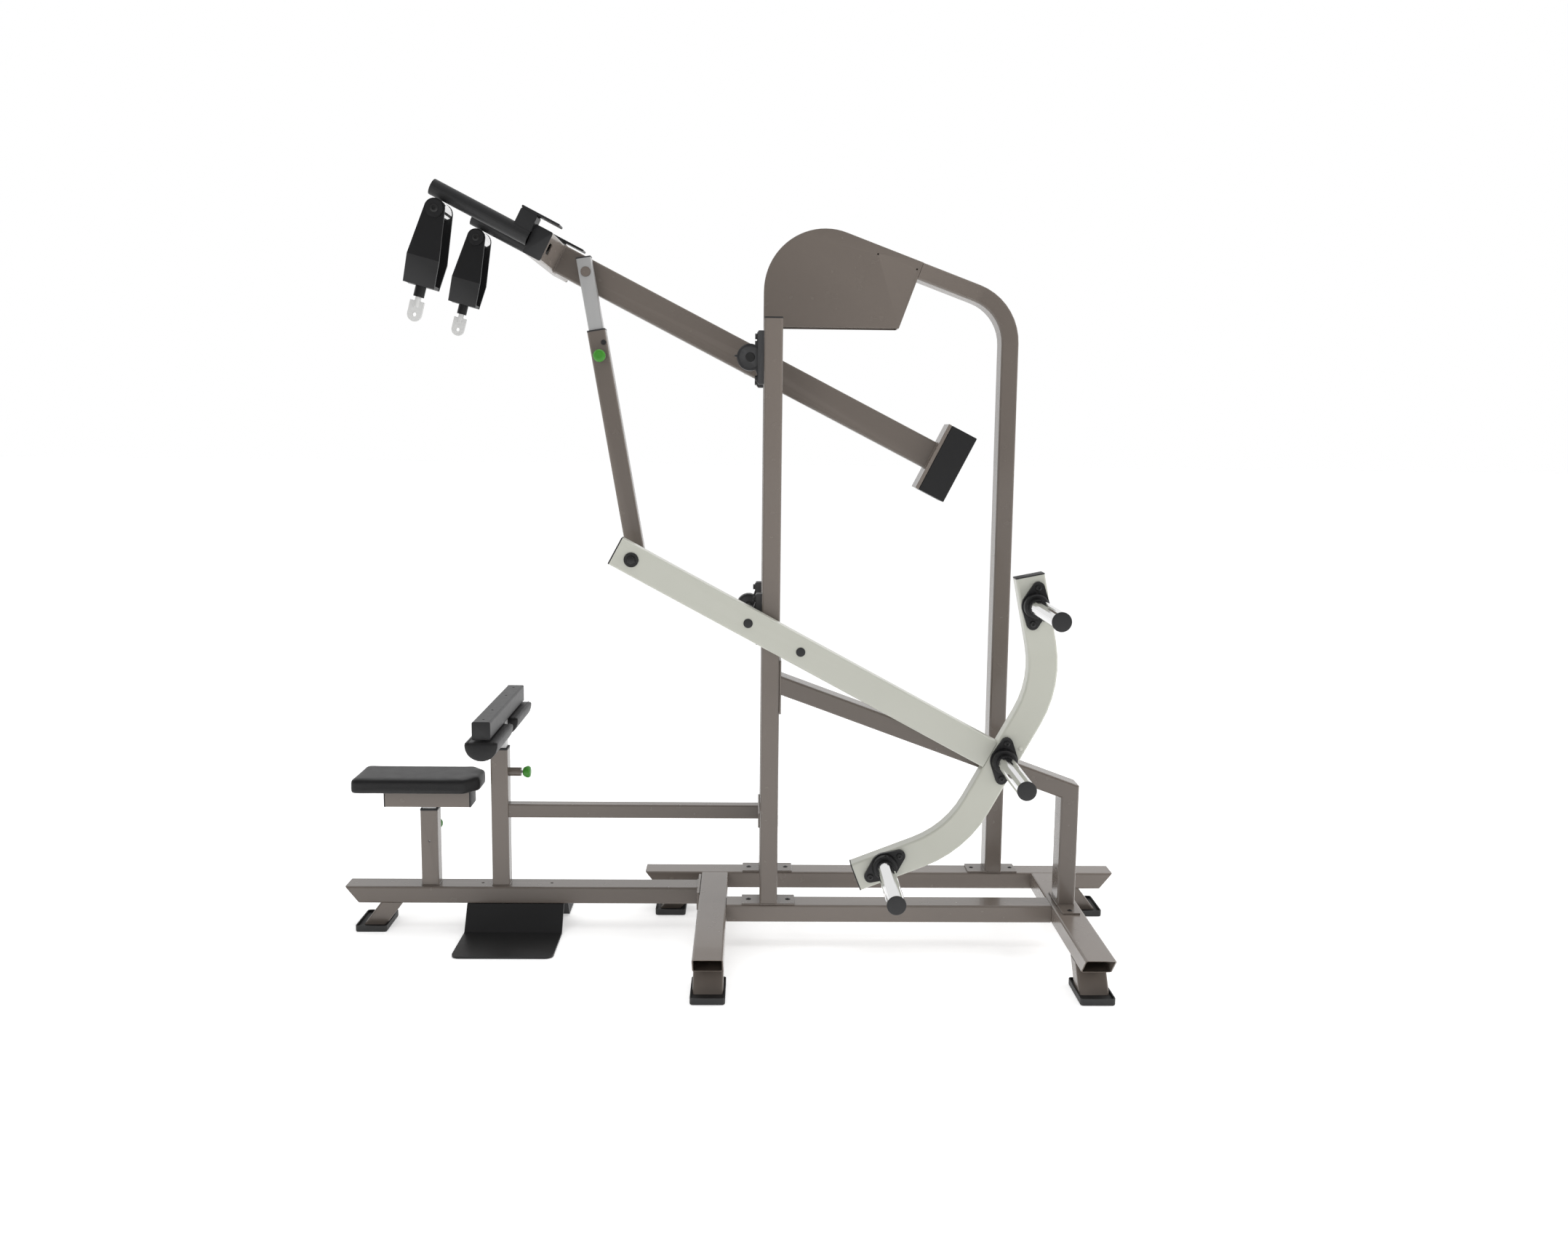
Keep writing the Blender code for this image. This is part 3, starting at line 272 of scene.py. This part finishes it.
def plate(name, place, half_a, half_b, thick, mat, body, radius=0.004, soft=0.0008, hole=None):
    """A rounded plate from local z = 0 to thick, with softened rims and perhaps a square hole."""
    bm = bmesh.new()
    base = bm.faces.new([bm.verts.new((a, b, 0)) for a, b in rounded(half_a, half_b, radius)])
    if hole:
        base.normal_update()
        bmesh.ops.inset_region(bm, faces=[base], thickness=hole, use_even_offset=True, use_boundary=True)
        bmesh.ops.delete(bm, geom=[base], context="FACES")
    made = bmesh.ops.extrude_face_region(bm, geom=list(bm.faces))["geom"]
    bmesh.ops.translate(bm, vec=(0, 0, thick), verts=[v for v in made if isinstance(v, bmesh.types.BMVert)])
    bmesh.ops.recalc_face_normals(bm, faces=bm.faces)
    bmesh.ops.dissolve_limit(bm, angle_limit=0.01, verts=bm.verts, edges=bm.edges)
    rims = [e for e in bm.edges if len(e.link_faces) == 2 and e.calc_face_angle() > 1.2]
    bmesh.ops.bevel(bm, geom=rims, offset=soft, segments=2, profile=0.5, affect="EDGES")
    bmesh.ops.transform(bm, matrix=place, verts=bm.verts)
    return piece(name, bm, mat, body)


def bolt(name, point, way, body, size=0.0085, mat=BLACK_BOLT, washer=True):
    """A hex bolt with a chamfered head standing on a washer."""
    bm = bmesh.new()
    lift = 0.0018 if washer else 0.0
    if washer:
        ring = turned([(0, 0), (size * 1.42, 0), (size * 1.5, 0.0004), (size * 1.5, 0.0013),
                       (size * 1.42, lift), (0, lift)], Vector((0, 0, 0)), Z, 28)
        mesh = bpy.data.meshes.new("washer")
        ring.to_mesh(mesh)
        ring.free()
        bm.from_mesh(mesh)
        bpy.data.meshes.remove(mesh)
    high = size * 0.72
    bmesh.ops.create_cone(bm, cap_ends=True, segments=6, radius1=size, radius2=size, depth=high,
                          matrix=Matrix.Translation((0, 0, lift + high / 2)))
    top = [f for f in bm.faces if len(f.verts) == 6 and f.normal.z > 0.9]
    bmesh.ops.bevel(bm, geom=[e for f in top for e in f.edges], offset=size * 0.13, segments=2,
                    profile=0.5, affect="EDGES")
    bmesh.ops.transform(bm, matrix=facing(point, way), verts=bm.verts)
    return piece(name, bm, mat, body, 28)


def socket_screw(name, point, way, body, radius, mat=BLACK_BOLT, high=0.004):
    """A domed button screw with a sunk drive."""
    drive = radius * 0.42
    profile = [(0, 0), (radius, 0), (radius, high * 0.35), (radius * 0.9, high * 0.75), (radius * 0.66, high),
               (drive, high), (drive, high * 0.3), (0, high * 0.3)]
    return piece(name, turned(profile, point, way, 30), mat, body)


def bead(name, place, half_a, half_b, body, thick=0.0022, radius=0.005, mat=FRAME_PAINT):
    """A weld bead round a rectangular tube, with the ripples of a torch run."""
    points = [place @ Vector((a, b, 0)) for a, b in rounded(half_a, half_b, radius, 3)]
    run = []
    for here, there in zip(points, points[1:] + points[:1]):
        count = max(1, round((there - here).length / 0.003))
        run += [here.lerp(there, k / count) for k in range(count)]
    curve = bpy.data.curves.new(name, "CURVE")
    curve.dimensions = "3D"
    curve.bevel_depth, curve.bevel_resolution = thick, 2
    spline = curve.splines.new("POLY")
    spline.points.add(len(run) - 1)
    for k, (target, spot) in enumerate(zip(spline.points, run)):
        target.co = (*spot, 1)
        target.radius = 0.85 + 0.3 * abs(math.sin(k * 1.35))
    spline.use_cyclic_u = True
    curve.materials.append(mat)
    obj = bpy.data.objects.new(name, curve)
    bpy.context.scene.collection.objects.link(obj)
    graph = bpy.context.evaluated_depsgraph_get()
    mesh = bpy.data.meshes.new_from_object(obj.evaluated_get(graph))
    bpy.data.objects.remove(obj)
    bpy.data.curves.remove(curve)
    mesh.name = name
    mesh.polygons.foreach_set("use_smooth", [True] * len(mesh.polygons))
    obj = bpy.data.objects.new(name, mesh)
    bpy.context.scene.collection.objects.link(obj)
    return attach(obj, body)


# ---------------------------------------------------------------- caps, collars and plugs
plate("near_upright_cap", cap_frame(at(0, -HALF_TRACK, 1.7532), Y, Z), WIDE, NARROW, 0.004,
      CAP_PLASTIC, "frame")
plate("seat_collar", axes(at(-0.987, 0, 0.3511), X, Y), SLEEVE, SLEEVE, 0.0050, CAP_PLASTIC, "frame",
      hole=SLEEVE_HOLE)
plate("thigh_collar", axes(at(-0.7812, 0, 0.5321), X, Y), SLEEVE, SLEEVE, 0.0050, CAP_PLASTIC, "frame",
      hole=SLEEVE_HOLE)
plate("link_collar", cap_frame(LINK_TOP + LINK_DOWN * 0.1609, Y, -LINK_DOWN), SLEEVE, SLEEVE, 0.0040,
      CAP_PLASTIC, "link_outer", hole=SLEEVE_HOLE)
plate("link_top_cap", cap_frame(LINK_TOP - LINK_DOWN * 0.0371, Y, -LINK_DOWN), 0.0206, 0.0206, 0.0034,
      CAP_PLASTIC, "link_inner", radius=0.003)
for side, sign in (("near", -1), ("far", 1)):
    plate(f"crosspiece_cap_{side}",
          cap_frame(UPPER + AHEAD * 0.6175 + Y * sign * 0.2621, ABOVE, Y * sign), WIDE, NARROW, 0.0032,
          CAP_PLASTIC, "pull_lever")
    plate(f"thigh_crossbar_cap_{side}",
          cap_frame(at(-0.7812, sign * 0.2761, 0.6433), X, Y * sign), 0.025, 0.025, 0.0030, CAP_PLASTIC,
          "thigh_rest")
for side, sign, x in (("front", -1, -1.1083), ("back", 1, -0.8657)):
    plate(f"seat_bracket_cap_{side}", cap_frame(at(x, 0, 0.390), Y, X * sign), WIDE, NARROW, 0.0035,
          CAP_PLASTIC, "seat")
plate("arm_front_cap", cap_frame(LOWER + Y * -0.225 + ARM_AHEAD * 0.4046, Y, ARM_AHEAD), NARROW, WIDE,
      0.0035, CAP_PLASTIC, "weight_arm")
for end, here, there in (
    ("top", (0.6995, 1.072), (0.759, 0.779)),
    ("bottom", (0.2435, 0.2289), (0.519, 0.3366)),
):
    out = Vector((here[0] - there[0], 0, here[1] - there[1])).normalized()
    plate(f"bracket_cap_{end}", cap_frame(at(here[0], -0.225, here[1]) + out * 0.0001, Y, out), NARROW, WIDE,
          0.0032, CAP_PLASTIC, "weight_arm")

for side, sign in (("near", -1), ("far", 1)):
    tip = UPPER + AHEAD * 0.9161 + Y * sign * 0.265
    piece(f"handle_plug_{side}",
          turned([(0, -0.010), (0.0180, -0.010), (0.0180, 0), (0.0209, 0), (0.0211, 0.0012), (0.0206, 0.0026),
                  (0.0188, 0.0032), (0.0172, 0.0027), (0.0160, 0.0032), (0.0085, 0.0046), (0, 0.0050)],
                 tip, AHEAD, 40), CAP_PLASTIC, "pull_lever")
for name, x, z, lean in HORNS:
    end = at(x, -0.5781, z)
    piece(f"horn_cap_{name}",
          turned([(0, -0.012), (0.0208, -0.012), (0.0208, 0), (0.0246, 0), (0.0250, 0.0012), (0.0250, 0.0050),
                  (0.0238, 0.0064), (0.0180, 0.0070), (0, 0.0070)], end, -Y, 44), CAP_PLASTIC, "weight_arm")
    turn = math.radians(lean)
    for tag, reach in (("a", 0.050), ("b", -0.050)):
        spot = at(x + reach * math.sin(turn), -0.2602, z + reach * math.cos(turn))
        socket_screw(f"flange_screw_{name}_{tag}", spot, -Y, "weight_arm", 0.0088, high=0.0046)
    socket_screw(f"flange_set_screw_{name}", at(x, -0.2705, z + 0.0348), Z, "weight_arm", 0.0032, high=0.0012)

# plugs and bolt on the outer face of the weight arm
for tag, x, z in (("pivot", -0.0625, 0.939), ("rear", 0.0806, 0.8615)):
    piece(f"arm_plug_{tag}",
          turned([(0, 0), (0.0126, 0), (0.0126, 0.0007), (0.0116, 0.0016), (0.0090, 0.0018), (0, 0.0024)],
                 Vector((at(x, 0, z).x, ARM_FACE_Y - 0.0006, z)), -Y, 32), CAP_PLASTIC, "weight_arm")
arm_bolt = LOWER + ARM_AHEAD * 0.3574
arm_bolt.y = ARM_FACE_Y - 0.0002
piece("arm_link_washer", turned([(0, 0), (0.0196, 0), (0.0200, 0.0005), (0.0200, 0.0020), (0.0195, 0.0026),
                                 (0, 0.0026)], arm_bolt, -Y, 40), BLACK_BOLT, "weight_arm")
bolt("arm_link_bolt", arm_bolt - Y * 0.0027, -Y, "weight_arm", 0.0115, washer=False)
piece("bracket_button", turned([(0, 0), (0.0062, 0), (0.0062, 0.0008), (0.0048, 0.0018), (0, 0.0022)],
                               Vector((at(0.688, 0, 0).x, ARM_FACE_Y - 0.0001, 0.597)), -Y, 24), BUTTON,
      "weight_arm")
knob_face = LINK_TOP + LINK_DOWN * 0.230 - Y * 0.025
# a flat black disc over the screw hole above the pin knob: painted shade standing in for the dark hole
piece("link_hole_shade_disc",
      turned([(0, 0), (0.0072, 0), (0.0072, 0.0010), (0.0060, 0.0020), (0, 0.0022)],
             knob_face + Vector((0.0089, -0.0001, 0.0375)), -Y, 28), CAP_PLASTIC, "link_outer")

# clevis pivots: a button screw each side, over the washers that are part of the clevis
for side, sign in (("near", -1), ("far", 1)):
    grip = UPPER + AHEAD * 0.8756 - ABOVE * 0.0483 + Y * sign * 0.268
    for tag, way in (("out", sign), ("in", -sign)):
        socket_screw(f"clevis_screw_{side}_{tag}", grip + Y * way * 0.0546, Y * way, f"clevis_{side}", 0.0100,
                     high=0.0035)

# ---------------------------------------------------------------- bolts of the frame, and black screws as painted shade in the plate holes
for side, sign in (("near", -1), ("far", 1)):
    for tag, dx in (("front", -0.056), ("rear", 0.056)):
        # black low screws over the holes in the rail plates: painted shade, their black standing in for the
        # dark inside the holes
        socket_screw(f"upright_bolt_{side}_{tag}", at(dx, sign * HALF_TRACK, PLATE_TOP), Z, "frame", 0.0074,
                     high=FLUSH)
    for level, height in (("upper", 1.651), ("lower", 0.939)):
        for tag, dz in (("top", 0.0560), ("bottom", -0.0560)):
            bolt(f"{level}_bearing_bolt_{side}_{tag}", at(-0.0422, sign * HALF_TRACK, height + dz), -X, "frame",
                 0.0078)
# the same black low screws over the arch and brace plate holes, as painted shade for those holes
for tag, x in (("front", 0.6275), ("rear", 0.7470)):
    socket_screw(f"arch_hole_shade_screw_{tag}", at(x, HALF_TRACK, PLATE_TOP), Z, "frame", 0.0062, high=FLUSH)
for tag, y in (("near", -0.2400), ("far", -0.0920)):
    socket_screw(f"brace_hole_shade_screw_{tag}", at(0.8455, y, PLATE_TOP), Z, "frame", 0.0070, high=FLUSH)

# ---------------------------------------------------------------- weld beads
for name, centre, half_a, half_b in (
    ("near_upright", at(0, -HALF_TRACK, PLATE_TOP - 0.0019), NARROW, WIDE),
    ("far_upright", at(0, HALF_TRACK, PLATE_TOP - 0.0019), NARROW, WIDE),
    ("arch", at(0.6885, HALF_TRACK, PLATE_TOP - 0.0019), NARROW, WIDE),
    ("brace", at(0.8455, -HALF_TRACK, PLATE_TOP - 0.0019), NARROW, WIDE),
    ("seat_post", at(-0.987, 0, 0.1275), 0.025, 0.025),
    ("thigh_post", at(-0.7812, 0, 0.1275), 0.025, 0.025),
):
    bead(f"weld_{name}", axes(centre, X, Y), half_a - 0.0002, half_b - 0.0002, "frame")
bead("weld_bench_plate", axes(at(-0.2062, 0, 0.102), Y, Z), 0.040, 0.025, "frame")
bead("weld_crosspiece", axes(UPPER + AHEAD * 0.5920, Y, ABOVE), 0.025, 0.040, "pull_lever")
bead("weld_counterweight_plate", axes(UPPER + AHEAD * -0.5748, Y, ABOVE), 0.025, 0.040, "pull_lever")
bead("weld_tie_near", axes(at(0, -0.1095, 0.350), Z, X), 0.020, 0.025, "frame", 0.0018)
bead("weld_tie_far", axes(at(0, 0.1095, 0.350), Z, X), 0.020, 0.025, "frame", 0.0018)
bead("weld_seat_inner", axes(at(-0.987, 0, 0.3645), X, Y), 0.020, 0.020, "seat", 0.0015, 0.003, BRUSHED)


# ---------------------------------------------------------------- upholstery
def cushion(name, node, body, cap, smoothing, rest, shrink=0.0012, voxel=0.0045, pressure=4.0):
    """Blows up a slightly smaller copy of a pad with cloth; rest(point) says what stays on its board."""
    source = NODES[node]
    low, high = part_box(node)
    middle, size = (low + high) / 2, high - low
    scale = Vector([1 - 2 * shrink / side for side in size])
    mesh = source.data.copy()
    mesh.name = name
    for vert in mesh.vertices:
        for k in range(3):
            vert.co[k] = middle[k] + (vert.co[k] - middle[k]) * scale[k]
    obj = bpy.data.objects.new(name, mesh)
    scene = bpy.context.scene
    scene.collection.objects.link(obj)

    def baked():
        graph = bpy.context.evaluated_depsgraph_get()
        made = bpy.data.meshes.new_from_object(obj.evaluated_get(graph))
        obj.modifiers.clear()
        obj.data = made
        made.name = name
        return made

    remesh = obj.modifiers.new("remesh", "REMESH")
    remesh.mode, remesh.voxel_size = "VOXEL", voxel
    mesh = baked()
    start = [vert.co.copy() for vert in mesh.vertices]
    group = obj.vertex_groups.new(name="board")
    held = [k for k, co in enumerate(start) if rest(co)]
    group.add(held, 1.0, "REPLACE")
    cloth = obj.modifiers.new("cloth", "CLOTH")
    settings = cloth.settings
    settings.quality, settings.mass = 6, 0.25
    settings.tension_stiffness = settings.compression_stiffness = 12
    settings.shear_stiffness, settings.bending_stiffness = 6, 0.6
    settings.use_pressure, settings.uniform_pressure_force = True, pressure
    settings.effector_weights.gravity = 0
    settings.vertex_group_mass = group.name
    cloth.point_cache.frame_start, cloth.point_cache.frame_end = 1, 20
    for step in range(1, 21):
        scene.frame_set(step)
    mesh = baked()
    scene.frame_set(1)
    for vert, was in zip(mesh.vertices, start):
        moved = vert.co - was
        if moved.length > cap:
            vert.co = was + moved.normalized() * cap
        vert.co += vert.normal * 0.0003 * noise.noise(was * 26)
    obj.vertex_groups.clear()
    smooth = obj.modifiers.new("smooth", "SMOOTH")
    smooth.factor, smooth.iterations = 0.5, smoothing
    obj.modifiers.new("finer", "SUBSURF").levels = 1
    mesh = baked()
    mesh.materials.clear()
    mesh.materials.append(VINYL)
    mesh.polygons.foreach_set("use_smooth", [True] * len(mesh.polygons))
    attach(obj, body)
    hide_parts(node)


def cord_along(name, points, radius, mat, body, closed=True):
    """A thin round seam laid along points."""
    bm = bmesh.new()
    count = len(points)
    rings = []
    for k, here in enumerate(points):
        before = points[k - 1] if closed or k else here
        after = points[(k + 1) % count] if closed or k < count - 1 else here
        turn = facing(here, (after - before).normalized())
        rings.append([bm.verts.new(turn @ Vector((radius * math.cos(t), radius * math.sin(t), 0)))
                      for t in (2 * math.pi * q / 8 for q in range(8))])
    for k in range(count if closed else count - 1):
        a, b = rings[k], rings[(k + 1) % count]
        shift = min(range(8), key=lambda s: (a[0].co - b[s].co).length)
        for q in range(8):
            bm.faces.new((a[q], a[(q + 1) % 8], b[(q + 1 + shift) % 8], b[(q + shift) % 8]))
    if not closed:
        bm.faces.new(rings[0])
        bm.faces.new(rings[-1])
    return piece(name, bm, mat, body, 80)


seat_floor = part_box("seat_pad")[0].z
cushion("seat_cushion", "seat_pad", "seat", 0.0012, 9, lambda co: co.z < seat_floor + 0.006)
for side in ("near", "far"):
    low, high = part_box(f"thigh_pad_{side}")
    cushion(f"thigh_cushion_{side}", f"thigh_pad_{side}", "thigh_rest", 0.0024, 4,
            lambda co, top=high.z: co.z > top - 0.006)
    middle = (low.x + high.x) / 2
    for tag, dx in (("front", -0.0350), ("rear", 0.0350)):
        run = [Vector((middle + dx + 0.0002 * math.sin(k * 0.9),
                       low.y + 0.004 + (high.y - low.y - 0.008) * k / SEAM_STEPS, high.z - 0.0012))
               for k in range(SEAM_STEPS + 1)]
        cord_along(f"thigh_seam_{side}_{tag}", run, 0.0010, THREAD, "thigh_rest", closed=False)

# ---------------------------------------------------------------- stage, light and camera
def make_floor():
    bm = bmesh.new()
    bmesh.ops.create_grid(bm, x_segments=2, y_segments=2, size=60)
    mesh = bpy.data.meshes.new("studio_floor")
    bm.to_mesh(mesh)
    bm.free()
    mat = bpy.data.materials.new("studio_floor")
    mat.use_nodes = True
    for socket, value in (("Base Color", (0.93, 0.93, 0.93, 1)), ("Roughness", 0.9),
                          ("Emission Color", (1, 1, 1, 1)), ("Emission Strength", 0.45)):
        mat.node_tree.nodes["Principled BSDF"].inputs[socket].default_value = value
    mesh.materials.append(mat)
    obj = bpy.data.objects.new("studio_floor", mesh)
    bpy.context.scene.collection.objects.link(obj)


def area_light(name, place, target, size, power):
    light = bpy.data.lights.new(name, "AREA")
    light.shape, light.size, light.size_y = "RECTANGLE", *size
    light.energy = power
    obj = bpy.data.objects.new(name, light)
    obj.location = place
    obj.rotation_euler = (Vector(target) - Vector(place)).to_track_quat("-Z", "Y").to_euler()
    bpy.context.scene.collection.objects.link(obj)
    obj.visible_glossy = False


make_floor()
area_light("softbox_right", (4.6, -0.6, 1.9), (0.2, 0.0, 0.9), (2.6, 3.0), 115)
area_light("softbox_top", (0.0, -0.5, 4.6), (0.0, 0.0, 0.8), (3.4, 2.6), 60)
area_light("softbox_front", (-2.4, -4.6, 2.8), (0.0, 0.0, 0.9), (2.4, 2.4), 55)


def studio_world():
    """White all round to the eye; as light, a bright backdrop behind the machine and a dim room before it."""
    world = bpy.data.worlds.new("studio")
    bpy.context.scene.world = world
    world.use_nodes = True
    tree = world.node_tree
    place = tree.nodes.new("ShaderNodeTexCoord")
    split = tree.nodes.new("ShaderNodeSeparateXYZ")
    ramp = tree.nodes.new("ShaderNodeMapRange")
    ramp.inputs["From Min"].default_value, ramp.inputs["From Max"].default_value = -0.35, 0.25
    ramp.inputs["To Min"].default_value, ramp.inputs["To Max"].default_value = 0.22, 0.95
    path = tree.nodes.new("ShaderNodeLightPath")
    seen = tree.nodes.new("ShaderNodeMix")
    seen.inputs[3].default_value = 1.0
    tree.links.new(place.outputs["Generated"], split.inputs["Vector"])
    tree.links.new(split.outputs["Y"], ramp.inputs["Value"])
    tree.links.new(path.outputs["Is Camera Ray"], seen.inputs[0])
    tree.links.new(ramp.outputs["Result"], seen.inputs[2])
    tree.links.new(seen.outputs[0], tree.nodes["Background"].inputs["Strength"])
    tree.nodes["Background"].inputs["Color"].default_value = (1, 1, 1, 1)


studio_world()
bpy.context.scene.view_settings.view_transform = "Standard"

YAW, PITCH, ROLL = (math.radians(a) for a in (1.326, 8.004, -0.641))
gaze = Vector((math.sin(YAW) * math.cos(PITCH), math.cos(YAW) * math.cos(PITCH), -math.sin(PITCH)))
level = Vector((math.cos(YAW), -math.sin(YAW), 0))
fall = gaze.cross(level)
right = level * math.cos(ROLL) + fall * math.sin(ROLL)
down = fall * math.cos(ROLL) - level * math.sin(ROLL)
turn = Matrix((right, -down, -gaze)).transposed()
camera = bpy.data.objects.new("camera", bpy.data.cameras.new("camera"))
camera.data.lens, camera.data.sensor_width = 31.98, 36.0
camera.matrix_world = turn.to_4x4()
camera.location = (0.0364, -3.83815, 1.4506)
bpy.context.scene.collection.objects.link(camera)
bpy.context.scene.camera = camera
